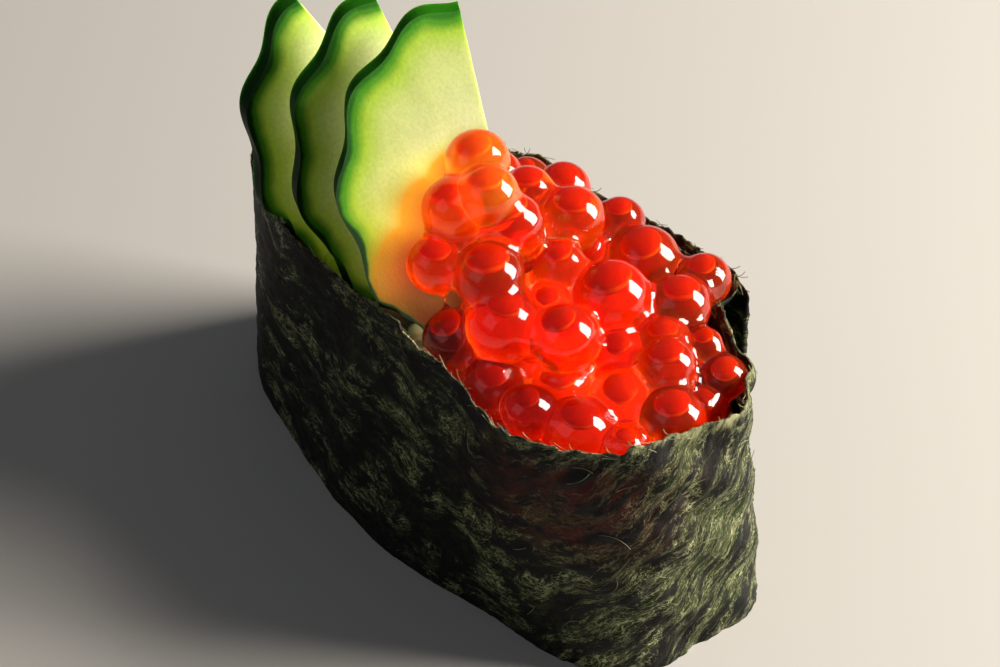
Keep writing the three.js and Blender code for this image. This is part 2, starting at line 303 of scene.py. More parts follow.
@dataclass(frozen=True)
class ToastedNori(Finish):
    """Nori: red algae pulped, dried on a mat and toasted.

    Near black, brown where the pulp is thick and olive where it is thin, with fine pale filaments
    whose pale colour is partly their own and partly painted glints. The UV map "strip" gives
    lengths along and across the filaments in tenths of a metre. The attribute "torn" is the depth
    under the torn rim in millimetres, 1.1 mm deeper away from the near end, so that the pale rim
    is painted mostly at the near end, where the light grazes. Another attribute is 1 at the near
    end's plain corner, where a red glow of the roe's light through the sheet is painted: painted
    light. A third is 1 at the near end, where the light grazes and more bare pale filaments and a
    lighter olive ground are painted: painted light.
    """

    name: str = "toasted_nori"
    brown: str = "070402"
    dark: str = "030403"
    green: str = "0b1005"
    olive: str = "2a3613"
    # Pale filaments: partly their own colour, partly painted glints
    filament: str = "ccd09c"
    torn: str = "a4a478"
    glow: str = "4c0803"
    # Turn in degrees, then how many fit in 100 mm along and across
    strands: tuple[tuple[float, float, float], ...] = (
        (6.0, 42.0, 110.0), (33.0, 58.0, 150.0), (-27.0, 52.0, 170.0), (64.0, 60.0, 140.0),
    )
    streaks: tuple[float, float, float] = (0.0, 32.0, 60.0)
    tufts: tuple[float, float, float] = (14.0, 11.0, 24.0)

    def clouds(
        self, tree: NodeTree, sheet: NodeSocket,
        size: tuple[float, float, float], detail: float, roughness: float,
    ) -> NodeSocket:
        """Adds noise that is drawn out along the sheet.

        Args:
            tree: The node tree.
            sheet: Place on the sheet.
            size: Turn in degrees, then how many fit in 100 mm along and across.
            detail: How many finer layers it has.
            roughness: How strong these are.

        Returns:
            The noise.
        """
        turn, along, across = size
        flow = add_node(
            tree, "Mapping", Vector=sheet, Rotation=(0.0, 0.0, math.radians(turn)),
            Scale=(along, across, 1.0),
        )
        return add_node(
            tree, "TexNoise", noise_dimensions="2D", Vector=flow, Scale=1.0, Detail=detail,
            Roughness=roughness,
        )

    def surface(self, tree: NodeTree) -> NodeSocket:
        """Lays pale filaments over dark pulp, then the torn rim and the brine.

        Args:
            tree: The material's node tree.

        Returns:
            The shader.
        """
        uv = add_node(tree, "UVMap", uv_map="strip")
        # The filaments wander by about 1 mm over 8 mm
        wander = add_node(
            tree, "TexNoise", "Color", noise_dimensions="2D", Vector=uv, Scale=12.0, Detail=1.0
        )
        sheet = add_node(
            tree, "VectorMath", operation="MULTIPLY_ADD", i0=wander, i1=(0.03, 0.05, 0.0), i2=uv
        )
        # Thick and thin pulp, in patches of 2 to 3 mm and finer ones
        pulp = self.clouds(tree, sheet, self.streaks, 7.0, 0.72)
        # A filament lies along each line where its noise is level with the middle
        mask: NodeSocket | float = 0.0
        for size in self.strands:
            cloud = self.clouds(tree, sheet, size, 2.0, 0.5)
            level = add_node(tree, "Math", operation="SUBTRACT", i0=cloud, i1=0.5)
            away = add_node(tree, "Math", operation="ABSOLUTE", i0=level)
            strand = add_node(tree, "MapRange", Value=away, i1=0.004, i2=0.026, i3=1.0, i4=0.0)
            mask = add_node(tree, "Math", operation="MAXIMUM", i0=mask, i1=strand)
        thin = add_node(tree, "MapRange", Value=pulp, i1=0.44, i2=0.60)
        # Filaments lie bare in patches of 4 to 9 mm and are sunk in dark pulp between. At the
        # near end, where the light grazes, more of them are painted bare and pale and the ground
        # is painted lighter olive: painted light.
        patches = self.clouds(tree, sheet, self.tufts, 4.0, 0.6)
        painted_near_end_light = add_node(tree, "Attribute", "Fac", attribute_name="painted_near_end_light")
        bare_and_painted_light = add_node(tree, "Math", operation="MULTIPLY_ADD", i0=painted_near_end_light, i1=0.13, i2=patches)
        bare = add_node(tree, "MapRange", Value=bare_and_painted_light, i1=0.48, i2=0.60, i3=0.04, i4=1.0)
        bright = add_node(tree, "Math", operation="MULTIPLY", i0=bare, i1=thin)
        shown = add_node(tree, "Math", operation="MULTIPLY", i0=mask, i1=bright)
        mixed = add_node(tree, "Math", operation="MULTIPLY_ADD", i0=bare_and_painted_light, i1=0.7, i2=pulp)
        grounds = (self.brown, self.dark, self.green, self.olive)
        ground = colour_ramp(tree, mixed, (0.68, 0.8, 0.9, 1.0), grounds)
        # Painted light: the bare filaments' pale colour partly stands in for glints
        share = add_node(tree, "Math", operation="MULTIPLY", i0=shown, i1=0.9)
        colour = add_node(
            tree, "Mix", data_type="RGBA", i0=share, i6=ground, i7=linear(self.filament)
        )
        # The torn rim is pale, in tufts: its own colour, but painted mostly at the near end,
        # where the light grazes: painted light.
        torn = add_node(tree, "Attribute", "Fac", attribute_name="torn")
        ragged = add_node(tree, "Math", operation="MULTIPLY_ADD", i0=pulp, i1=-2.4, i2=torn)
        pale = add_node(tree, "MapRange", Value=ragged, i1=-0.9, i2=0.1, i3=0.9, i4=0.0)
        tufts = add_node(tree, "MapRange", Value=pulp, i1=0.42, i2=0.58, i3=0.1, i4=1.0)
        fuzz = add_node(tree, "Math", operation="MULTIPLY", i0=pale, i1=tufts)
        colour = add_node(tree, "Mix", data_type="RGBA", i0=fuzz, i6=colour, i7=linear(self.torn))
        # Painted light: a red glow of the roe's light through the sheet, in patches, at the near
        # end's plain corner
        painted_roe_glow = add_node(tree, "Attribute", "Fac", attribute_name="painted_roe_glow")
        painted_light_share = add_node(tree, "MapRange", Value=pulp, i1=0.42, i2=0.58, i3=0.0, i4=0.9)
        glow = add_node(tree, "Math", operation="MULTIPLY", i0=painted_roe_glow, i1=painted_light_share)
        colour = add_node(tree, "Mix", data_type="RGBA", i0=glow, i6=colour, i7=linear(self.glow))
        gloss = add_node(tree, "MapRange", Value=shown, i1=0.0, i2=0.7, i3=0.62, i4=0.2)
        grit = add_node(tree, "Math", operation="MULTIPLY_ADD", i0=pulp, i1=1.2, i2=shown)
        height = add_node(tree, "Bump", Height=grit, Strength=1.0, Distance=0.2 * MM)
        return add_node(
            tree, "BsdfPrincipled", Base_Color=colour, Roughness=gloss, Normal=height, IOR=1.5,
            Specular_IOR_Level=0.22,
        )


@dataclass(frozen=True)
class LooseFibre(Finish):
    """A single dried filament of nori, thin enough to let light through: pale olive."""

    name: str = "loose_fibre"
    shade: str = "4c5230"
    colour: str = "8d9268"

    def surface(self, tree: NodeTree) -> NodeSocket:
        """Tints the fibres in patches of 2 mm.

        Args:
            tree: The material's node tree.

        Returns:
            The shader.
        """
        place = add_node(tree, "TexCoord", "Object")
        tint = add_node(tree, "TexNoise", Vector=place, Scale=500.0)
        colour = colour_ramp(tree, tint, (0.35, 0.65), (self.shade, self.colour))
        return add_node(tree, "BsdfPrincipled", Base_Color=colour, Roughness=0.35)


@dataclass(frozen=True)
class CutCucumber(Finish):
    """Cucumber cut fresh: pale wet flesh inside a thin dark green skin.

    The piece's attribute "rind" is the depth under the skin in millimetres. "glow" is 1 where the
    roe lies on the flesh, where a yellow to orange-brown glow of the light that comes through the
    eggs is painted: painted light. A third attribute is 1 low on the front slice, where the flesh
    is painted darker: painted shade.
    """

    name: str = "cut_cucumber"
    skin: str = "0a260a"
    skin_by_tip: str = "1c5c08"
    under_skin: str = "3a760c"
    outer_flesh: str = "84a02c"
    flesh: str = "9ea965"
    heart: str = "acb284"
    # Painted light: colours of the glow of light through the roe on the flesh
    painted_glow_tint: tuple[str, str, str] = ("7c841a", "8e6a08", "803602")
    radius: float = 17.3

    def surface(self, tree: NodeTree) -> NodeSocket:
        """Lays skin and flesh by their depth, then the painted glow and the painted shade.

        Args:
            tree: The material's node tree.

        Returns:
            The shader.
        """
        rind = add_node(tree, "Attribute", "Fac", attribute_name="rind")
        place = add_node(tree, "TexCoord", "Object")
        cells = add_node(
            tree, "TexNoise", Vector=place, Scale=2600.0, Detail=3.0, Roughness=0.6
        )
        clouds = add_node(tree, "TexNoise", Vector=place, Scale=260.0, Detail=3.0)
        wander = add_node(tree, "MapRange", Value=clouds, i1=0.3, i2=0.7, i3=-0.25, i4=0.25)
        depth = add_node(tree, "Math", operation="ADD", i0=rind, i1=wander)
        share = add_node(tree, "MapRange", Value=depth, i1=0.0, i2=self.radius)
        layers = (self.under_skin, self.under_skin, self.outer_flesh, self.flesh, self.heart)
        colour = colour_ramp(tree, share, (0.03, 0.05, 0.11, 0.25, 0.7), layers)
        # The skin pales over the last 11 mm towards the tip
        upright = add_node(tree, "SeparateXYZ", "Z", Vector=place)
        tip = add_node(tree, "MapRange", Value=upright, i1=38.0 * MM, i2=49.0 * MM)
        skin = add_node(
            tree, "Mix", data_type="RGBA", i0=tip, i6=linear(self.skin),
            i7=linear(self.skin_by_tip),
        )
        # The skin is about 0.5 mm thick
        peel = add_node(tree, "MapRange", Value=depth, i1=0.3, i2=0.7, i3=1.0, i4=0.0)
        colour = add_node(tree, "Mix", data_type="RGBA", i0=peel, i6=colour, i7=skin)
        speckle = add_node(tree, "MapRange", Value=cells, i1=0.3, i2=0.7, i3=0.9, i4=1.06)
        colour = add_node(tree, "VectorMath", operation="SCALE", i0=colour, Scale=speckle)
        # Painted light: near the roe the flesh is painted yellow to orange-brown, a glow of the
        # light that comes through the eggs
        glow = add_node(tree, "Attribute", "Fac", attribute_name="glow")
        painted_glow_tint = colour_ramp(tree, glow, (0.22, 0.45, 0.85), self.painted_glow_tint)
        taken = add_node(tree, "MapRange", Value=glow, i1=0.04, i2=0.45)
        inner = add_node(
            tree, "Math", operation="MULTIPLY_ADD", use_clamp=True, i0=peel, i1=-1.0, i2=taken
        )
        colour = add_node(tree, "Mix", data_type="RGBA", i0=inner, i6=colour, i7=painted_glow_tint)
        # Painted shade: low on the front slice the colour is darkened
        painted_light_share = add_node(tree, "Attribute", "Fac", attribute_name="painted_light_share")
        darker = add_node(tree, "MapRange", Value=painted_light_share, i3=1.0, i4=0.3)
        colour = add_node(tree, "VectorMath", operation="SCALE", i0=colour, Scale=darker)
        height = add_node(tree, "Bump", Height=cells, Strength=0.3, Distance=0.1 * MM)
        return add_node(
            tree, "BsdfPrincipled", Base_Color=colour, Roughness=0.5, IOR=1.38, Normal=height,
            Specular_IOR_Level=0.07, Subsurface_Weight=0.75,
            Subsurface_Radius=(1.0, 1.0, 0.45), Subsurface_Scale=1.6 * MM,
            Coat_Weight=0.04, Coat_Roughness=0.08,
        )


@dataclass(frozen=True)
class SalmonEgg(Finish):
    """Cured salmon egg: a clear tough membrane full of orange-red translucent oil.

    It lies in brine, so its index of refraction is the small step from brine to egg, and the
    brine's film has the gloss. The attribute "tone" runs from 0 at the clear orange foot of an
    egg, painted lighter as a glow of the light that the egg gathers there, to 1 at its red top.
    Eggs high on the mound are painted lighter, painted light too, and eggs low on the plain side
    darker red: painted shade.
    """

    name: str = "salmon_egg"
    # The light colour is a painted glow and the dark one painted shade
    light: str = "ffbe38"
    amber: str = "e8600c"
    deep: str = "bc3404"
    dark: str = "8a1402"

    def surface(self, tree: NodeTree) -> NodeSocket:
        """Colours the clear egg by its tone.

        Args:
            tree: The material's node tree.

        Returns:
            The shader.
        """
        tone = add_node(tree, "Attribute", "Fac", attribute_name="tone")
        reds = (self.light, self.amber, self.deep, self.dark)
        colour = colour_ramp(tree, tone, (0.0, 0.3, 0.72, 1.0), reds)
        return add_node(
            tree, "BsdfPrincipled", Base_Color=colour, Roughness=0.02, IOR=1.1,
            Transmission_Weight=0.86, Subsurface_Weight=1.0,
            Subsurface_Radius=(1.0, 0.2, 0.05), Subsurface_Scale=5.0 * MM,
        )


@dataclass(frozen=True)
class BrineFilm(Finish):
    """Brine that clings to the eggs: clear, faintly orange and wet."""

    name: str = "brine_film"
    colour: str = "ffe2cc"

    def surface(self, tree: NodeTree) -> NodeSocket:
        """Breaks up the reflections by an unevenness of about 1.5 mm.

        Args:
            tree: The material's node tree.

        Returns:
            The shader.
        """
        place = add_node(tree, "TexCoord", "Object")
        ripple = add_node(tree, "TexNoise", Vector=place, Scale=700.0, Detail=1.0)
        height = add_node(tree, "Bump", Height=ripple, Strength=0.35, Distance=0.12 * MM)
        return add_node(
            tree, "BsdfPrincipled", Base_Color=linear(self.colour), Roughness=0.09, IOR=1.5,
            Transmission_Weight=1.0, Normal=height,
        )


@dataclass(frozen=True)
class RoeOil(Finish):
    """The oil inside an egg: a clear red lens with a bright rim.

    The attribute "ring" is 1 at the lens's edge, which gathers the light.
    """

    name: str = "roe_oil"
    colour: str = "c83c0a"
    rim: str = "ffc45c"

    def surface(self, tree: NodeTree) -> NodeSocket:
        """Brightens the rim of the lens.

        Args:
            tree: The material's node tree.

        Returns:
            The shader.
        """
        ring = add_node(tree, "Attribute", "Fac", attribute_name="ring")
        colour = colour_ramp(tree, ring, (0.25, 0.9), (self.colour, self.rim))
        return add_node(
            tree, "BsdfPrincipled", Base_Color=colour, Roughness=0.02, IOR=1.12,
            Transmission_Weight=0.5, Subsurface_Weight=1.0,
            Subsurface_Radius=(1.0, 0.25, 0.06), Subsurface_Scale=0.6 * MM,
        )


@dataclass(frozen=True)
class DeepRoe(Finish):
    """The inside of the mound, where light only comes through other eggs: glowing red.

    The attribute "tone" is 1 where the roe is painted its deepest red: painted shade, low on the
    plain side.
    """

    name: str = "deep_roe"
    colour: str = "d8500c"
    dark: str = "801402"

    def surface(self, tree: NodeTree) -> NodeSocket:
        """Colours the bed by its tone.

        Args:
            tree: The material's node tree.

        Returns:
            The shader.
        """
        tone = add_node(tree, "Attribute", "Fac", attribute_name="tone")
        colour = colour_ramp(tree, tone, (0.0, 1.0), (self.colour, self.dark))
        return add_node(
            tree, "BsdfPrincipled", Base_Color=colour, Roughness=0.3, IOR=1.37,
            Subsurface_Weight=1.0, Subsurface_Radius=(1.0, 0.2, 0.05),
            Subsurface_Scale=4.0 * MM,
        )


@dataclass(frozen=True)
class CookedRice(Finish):
    """Short-grain rice, boiled and dressed with vinegar: off-white, moist, translucent."""

    name: str = "cooked_rice"
    starchy: str = "e4dcc6"
    colour: str = "efe9da"
    pale: str = "faf7ee"

    def surface(self, tree: NodeTree) -> NodeSocket:
        """Clouds the grains in patches of 2 mm.

        Args:
            tree: The material's node tree.

        Returns:
            The shader.
        """
        place = add_node(tree, "TexCoord", "Object")
        clouds = add_node(tree, "TexNoise", Vector=place, Scale=500.0, Detail=3.0)
        whites = (self.starchy, self.colour, self.pale)
        colour = colour_ramp(tree, clouds, (0.3, 0.55, 0.75), whites)
        return add_node(
            tree, "BsdfPrincipled", Base_Color=colour, Roughness=0.35, IOR=1.4,
            Subsurface_Weight=0.6, Subsurface_Radius=(1.0, 0.8, 0.55),
            Subsurface_Scale=1.5 * MM, Coat_Weight=0.25, Coat_Roughness=0.15,
        )


@dataclass(frozen=True)
class StudioPaper(Finish):
    """Matt background paper, plain and pale."""

    name: str = "studio_paper"
    colour: str = "b6b4b0"

    def surface(self, tree: NodeTree) -> NodeSocket:
        """Gives the plain colour."""
        return add_node(
            tree, "BsdfPrincipled", Base_Color=linear(self.colour), Roughness=0.85
        )


# ---------------------------------------------------------------------- the footprint


@dataclass(frozen=True)
class Footprint:
    """The wall that the nori follows, and the walk round it."""

    length: float = 62.0
    half_width_seam: float = 14.2
    half_width_plain: float = 13.6
    height: float = 28.0
    corner_power: float = 3.4
    # Bulges: where along the length, how wide and how far out
    seam_bulge: tuple[float, float, float] = (6.0, 9.0, 1.2)
    rim_bulge: tuple[float, float, float] = (18.0, 7.0, 1.6)
    foot_bulge: tuple[float, float, float] = (-1.0, 11.0, 2.4)
    far_taper: float = 3.0
    near_taper: float = 2.9
    start_angle: float = math.pi * 0.46
    fine_steps: int = 1440

    def half_width(self, x: float, z: float, seam_side: bool) -> float:
        """Half-width of the footprint.

        Args:
            x: Place along the length.
            z: Height.
            seam_side: Whether it is the side with the strip's outer end.

        Returns:
            The half-width.
        """
        up = z / self.height
        if seam_side:
            return (
                self.half_width_seam
                + bell(x, *self.seam_bulge)
                - self.far_taper * smooth_step(0.0, 18.0, -x)
                - self.near_taper * smooth_step(12.0, 28.0, x) * (0.1 + 0.9 * up)
            )
        return (
            self.half_width_plain
            + bell(x, *self.rim_bulge) * up
            + bell(x, *self.foot_bulge) * (1.0 - up) ** 2
        )

    def wall(self, angle: float, z: float) -> Vector:
        """Point of the nori's outer face for an angle round the footprint and a height.

        Args:
            angle: Round the footprint, from +X.
            z: Height.

        Returns:
            The point, flat.
        """
        level = min(max(z, 0.0), self.height)
        x = self.length / 2 * signed_power(math.cos(angle), 2.0 / self.corner_power)
        side = signed_power(math.sin(angle), 2.0 / self.corner_power)
        return Vector((x, side * self.half_width(x, level, side > 0.0)))

    def walk(self) -> list[float]:
        """Distances at equal steps of angle, clockwise from the start angle.

        Returns:
            The distances, the first 0.
        """
        lengths = [0.0]
        before = self.wall(self.start_angle, self.height / 2)
        for k in range(1, self.fine_steps + 1):
            turn = self.start_angle - k / self.fine_steps * 2.0 * math.pi
            point = self.wall(turn, self.height / 2)
            lengths.append(lengths[-1] + (point - before).length)
            before = point
        return lengths

    def inside(self, point: Vector, inset: float) -> float:
        """How far inside the wall a point is: below 1 inside, above 1 outside.

        Args:
            point: The point.
            inset: Distance that the wall is drawn in by.

        Returns:
            The superellipse's value.
        """
        level = min(max(point.z, 0.0), self.height)
        half = self.half_width(point.x, level, point.y > 0.0) - inset
        along = abs(point.x) / (self.length / 2 - inset)
        return along**self.corner_power + abs(point.y / half) ** self.corner_power


# ------------------------------------------------------------------------------ nori


@dataclass
class NoriBand:
    """The strip of nori wound round the rice, and the fibres along its torn rim."""

    footprint: Footprint
    eggs: Sequence[Egg]
    overlap: float = 8.5
    flap_length: float = 6.0
    flap_flare: float = 2.0
    second_turn: float = 1.2
    thickness: float = 0.5
    rim_thickness: float = 0.22
    set_back: float = 0.25
    rim_curl: float = 1.3
    fold_depth: float = 0.62
    crinkle: float = 0.4
    tear: float = 0.6
    slope: float = 0.85
    # Eggs lean on the strip above this height
    lowest_push: float = 20.0
    # Middle of the lively near end, as a share of one turn from the inner end
    near_end: float = 0.2
    cell: float = 0.36
    fibre_width: float = 0.07
    rim_fibres: int = 420
    loose_fibres: int = 70
    fibre_steps: int = 6
    egg_gap: float = 0.3
    seed: int = 11
    lengths: list[float] = field(default_factory=list)

    def __post_init__(self) -> None:
        """Measures the walk round the footprint once and keeps the eggs that are near it."""
        self.lengths = self.footprint.walk()
        self.eggs = [
            egg for egg in self.eggs
            if self.footprint.inside(egg.centre, egg.diameter / 2 + 1.5) > 1.0
        ]

    @property
    def total(self) -> float:
        """Length of one turn."""
        return self.lengths[-1]

    def at(self, distance: float, middle: float, width: float) -> float:
        """Bell along the strip, with its middle and width as shares of one turn."""
        return bell(distance, middle * self.total, width * self.total)

    def angle_at(self, distance: float) -> float:
        """Angle round the footprint at a distance along the strip.

        Args:
            distance: Along the strip.

        Returns:
            The angle, which falls with the distance.
        """
        turns, rest = divmod(distance, self.total)
        steps = self.footprint.fine_steps
        k = min(bisect_right(self.lengths, rest) - 1, steps - 1)
        part = (rest - self.lengths[k]) / (self.lengths[k + 1] - self.lengths[k])
        return self.footprint.start_angle - ((k + part) / steps + turns) * 2.0 * math.pi

    def point(self, distance: float, z: float, depth: float) -> Vector:
        """Point of the strip.

        Args:
            distance: Along the strip from its inner end.
            z: Height.
            depth: Measured inwards from the outer face.

        Returns:
            The point.
        """
        angle = self.angle_at(distance)
        here = self.footprint.wall(angle, z)
        ahead = (self.footprint.wall(angle - 1e-3, z) - here).normalized()
        outward = Vector((-ahead.y, ahead.x))
        up = z / self.footprint.height
        end = self.total + self.overlap
        # Past one turn the strip lies over its own inner end, and its outer end stands off
        second = smooth_step(self.total - 9.0, self.total - 1.0, distance) * self.second_turn
        flap = smooth_step(end - self.flap_length, end, distance)
        # The rim curls in at the plain side of the near end
        by_end = smooth_step(22.0, 30.0, here.x) * smooth_step(-7.0, 0.0, -here.y)
        curl = self.rim_curl * by_end * smooth_step(22.0, 29.0, z)
        out = second + flap * self.flap_flare * (0.45 + 0.55 * up) - curl - depth
        flat = here + outward * out
        return Vector((flat.x, flat.y, z))

    def fold(self, distance: float, z: float) -> float:
        """How far the strip's broad folds stand out.

        Args:
            distance: Along the strip.
            z: Height.

        Returns:
            The height of the folds.
        """
        lively = self.at(distance, self.near_end, 0.09)
        slanting = 0.5 + 0.5 * math.sin(0.75 * z - 0.5 * distance)
        upright = 0.5 + 0.5 * math.sin(0.33 * distance + 0.2 * z)
        return self.fold_depth * (lively * slanting + 0.5 * upright)

    def course(self, distance: float, z: float) -> float:
        """Place across the filaments, which climb towards the seam round the near end."""
        middle, width = self.near_end * self.total, 0.11 * self.total
        return z + self.slope * width * 0.886 * math.erf((distance - middle) / width)

    def crinkles(self, distance: float, z: float) -> float:
        """How far the crinkles along the filaments stand out.

        Args:
            distance: Along the strip.
            z: Height.

        Returns:
            The height of the crinkles.
        """
        across = self.course(distance, z)
        across += 1.6 * noise.noise(Vector((distance * 0.09, across * 0.12, 3.0)))
        lively = 0.5 + 0.5 * self.at(distance, self.near_end, 0.13)
        ridges = 1.0 - 2.2 * abs(relief(Vector((distance * 0.12, across * 0.42, 0.0)), 2))
        fine = relief(Vector((distance * 0.4, across * 1.5, 9.0)), 3)
        pits = relief(Vector((distance * 1.5, z * 2.2, 5.0)), 2)
        return self.crinkle * lively * (0.6 * ridges + 0.42 * fine + 0.22 * pits)

    def pushed(self, distance: float, z: float, depth: float) -> float:
        """How far the eggs that lean on the strip push it out.

        Args:
            distance: Along the strip.
            z: Height.
            depth: Where its inner face would lie without them.

        Returns:
            The push outwards.
        """
        if z < self.lowest_push:
            return 0.0
        inner = self.point(distance, z, depth)
        outward = self.point(distance, z, depth - 1.0) - inner
        most = 0.0
        for egg in self.eggs:
            off = inner - egg.centre
            along = off.dot(outward)
            beside = off.length_squared - along**2
            within = (egg.diameter / 2 + self.egg_gap) ** 2 - beside
            if within > 0.0:
                most = max(most, math.sqrt(within) - along)
        return most

    def stands_out(self, distance: float, z: float) -> float:
        """How far the sheet stands out of the plain wall."""
        plain = self.fold(distance, z) + self.crinkles(distance, z) - self.set_back
        return plain + self.pushed(distance, z, self.thickness - plain)

    def painted_light_share(self, distance: float, z: float) -> float:
        """How much red glow of the roe's light through the sheet is painted under the rim, at the
        near end's plain corner.
        """
        reach = self.at(distance, 0.275, 0.055)
        return reach * smooth_step(11.0, 19.0, z) * smooth_step(-27.5, -24.5, -z)

    def rim(self, distance: float) -> float:
        """Height of the rim, with its waves and tears.

        Args:
            distance: Along the strip.

        Returns:
            The height.
        """
        turn = 2.0 * math.pi * distance / self.total
        waves = 0.35 * math.sin(5.0 * turn + 1.0) + 0.2 * math.sin(14.0 * turn)
        torn = relief(Vector((distance * 0.55, 0.0, 1.0)), 5)
        return self.footprint.height + waves + self.tear * torn

    def build_strip(self, material: Material) -> Object:
        """Builds the strip: a fine sheet with crinkles, and its inner face behind it.

        Args:
            material: Its finish.

        Returns:
            The strip.
        """
        end = self.total + self.overlap
        columns = round(end / self.cell)
        rows = round(self.footprint.height / self.cell)
        bm = bmesh.new()
        bmesh.ops.create_grid(bm, x_segments=columns, y_segments=rows, size=0.5)
        uv_layer = bm.loops.layers.uv.new("strip")
        torn = bm.verts.layers.float.new("torn")
        painted_roe_glow = bm.verts.layers.float.new("painted_roe_glow")
        painted_near_end_light = bm.verts.layers.float.new("painted_near_end_light")
        flat = {v: ((v.co.x + 0.5) * end, v.co.y + 0.5) for v in bm.verts}
        for vertex, (distance, up) in flat.items():
            # Painted light: the near end, where the light grazes, gets more bare pale filaments
            # and a pale torn rim
            painted_lit_end = self.at(distance, 0.17, 0.1)
            vertex[painted_near_end_light] = painted_lit_end
            vertex[torn] = (1.0 - up) * self.rim(distance) + 1.1 * (1.0 - painted_lit_end)
            # Painted light: the roe's red glow through the sheet
            vertex[painted_roe_glow] = self.painted_light_share(distance, up * self.rim(distance))
        for face in bm.faces:
            for loop in face.loops:
                distance, up = flat[loop.vert]
                across = self.course(distance, up * self.rim(distance))
                loop[uv_layer].uv = (distance / 100.0, across / 100.0)
        grown = bmesh.ops.extrude_face_region(bm, geom=bm.faces[:], use_keep_orig=True)
        inner = [v for v in grown["geom"] if isinstance(v, BMVert)]
        places = {v: ((v.co.x + 0.5) * end, v.co.y + 0.5) for v in inner}
        for vertex, (distance, up) in flat.items():
            z = up * self.rim(distance)
            vertex.co = self.point(distance, z, -self.stands_out(distance, z))
        for vertex, (distance, up) in places.items():
            z = up * (self.rim(distance) - 0.05)
            thin = smooth_step(24.5, 28.0, z)
            thickness = self.thickness + (self.rim_thickness - self.thickness) * thin
            vertex.co = self.point(distance, z, thickness - self.stands_out(distance, z))
        bmesh.ops.recalc_face_normals(bm, faces=bm.faces)
        return declare(finish_mesh(bm, "nori_strip", material), "nori_band")

    def fibre(
        self, start: Sequence[float], heading: float, bend: float, length: float, lift: float
    ) -> list[Vector]:
        """Course of one loose fibre over the strip.

        Args:
            start: Distance along the strip, height and depth of its root.
            heading: Direction in which it sets out, in radians from along the strip.
            bend: How far it turns on the way, in radians.
            length: Its length.
            lift: How far its end stands off.

        Returns:
            Its points.
        """
        distance, z, depth = start
        points = []
        for k in range(self.fibre_steps + 1):
            share = k / self.fibre_steps
            points.append(self.point(distance, z, depth - lift * share * share))
            distance += length / self.fibre_steps * math.cos(heading)
            z += length / self.fibre_steps * math.sin(heading)
            heading += bend / self.fibre_steps
        return points

    def build_fibres(self, material: Material) -> Object:
        """Builds the loose fibres along the torn rim and over the near end.

        Args:
            material: Their finish.

        Returns:
            The fibres.
        """
        draw = random.Random(self.seed)
        end = self.total + self.overlap
        # Two long fibres stand off the near end
        courses = [
            self.fibre((0.262 * self.total, 18.2, -0.2), 2.9, 1.3, 3.2, 0.7),
            self.fibre((0.247 * self.total, 17.4, -0.2), 3.5, -1.5, 3.4, 0.7),
        ]
        for _ in range(self.rim_fibres):
            distance = draw.uniform(1.0, end - 1.0)
            z = self.rim(distance) - draw.uniform(0.05, 0.5)
            inwards = self.rim_thickness * draw.uniform(0.0, 1.0)
            root = (distance, z, inwards - self.stands_out(distance, z))
            heading = draw.choice((0.0, math.pi)) + draw.uniform(-0.5, 0.7)
            courses.append(self.fibre(
                root, heading, draw.uniform(-1.6, 1.6), draw.uniform(0.6, 2.0),
                draw.uniform(-0.2, 0.3),
            ))
        for _ in range(self.loose_fibres):
            distance = draw.gauss(self.near_end, 0.05) * self.total
            z = draw.uniform(2.0, 26.0)
            root = (distance, z, -self.stands_out(distance, z))
            courses.append(self.fibre(
                root, math.pi - 0.7 + draw.uniform(-0.5, 0.5), draw.uniform(-1.2, 1.2),
                draw.uniform(1.2, 3.0), draw.uniform(0.05, 0.35),
            ))
        curve = bpy.data.curves.new("nori_fibres", "CURVE")
        curve.dimensions = "3D"
        curve.bevel_depth = self.fibre_width / 2 * MM
        curve.bevel_resolution = 0
        curve.use_fill_caps = True
        for points in courses:
            spline = curve.splines.new("POLY")
            spline.points.add(len(points) - 1)
            for knot, point in zip(spline.points, points):
                knot.co = (*(point * MM), 1.0)
        piece = mesh_of(add_object("holder", curve), "nori_fibres", material)
        return declare(piece, "nori_band")


# -------------------------------------------------------------------------- cucumber


